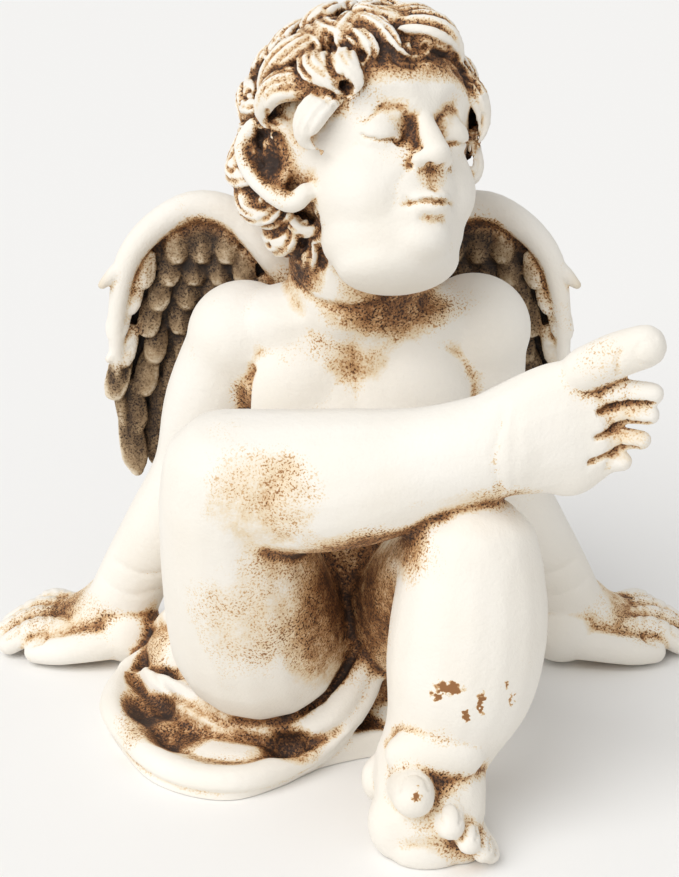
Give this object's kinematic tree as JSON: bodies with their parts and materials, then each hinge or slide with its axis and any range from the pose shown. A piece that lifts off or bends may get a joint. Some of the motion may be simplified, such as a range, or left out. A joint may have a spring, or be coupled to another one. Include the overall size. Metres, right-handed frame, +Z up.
{
  "type": "sleeping cherub statue",
  "caption": "Cast stone cherub asleep with its head turned, leaning back on both hands with one ankle on the other knee.",
  "frame": {"origin": "on the ground, in the flat underside of the seat, below the figure's hips", "axes": "+Z is up and the figure faces -Y; the crossing foot points to +X"},
  "size_m": [0.4254, 0.296, 0.3989],
  "materials": {
    "cast_stone": null
  },
  "bodies": {
    "root": {"cherub": "cast_stone"}
  },
  "joints": []
}
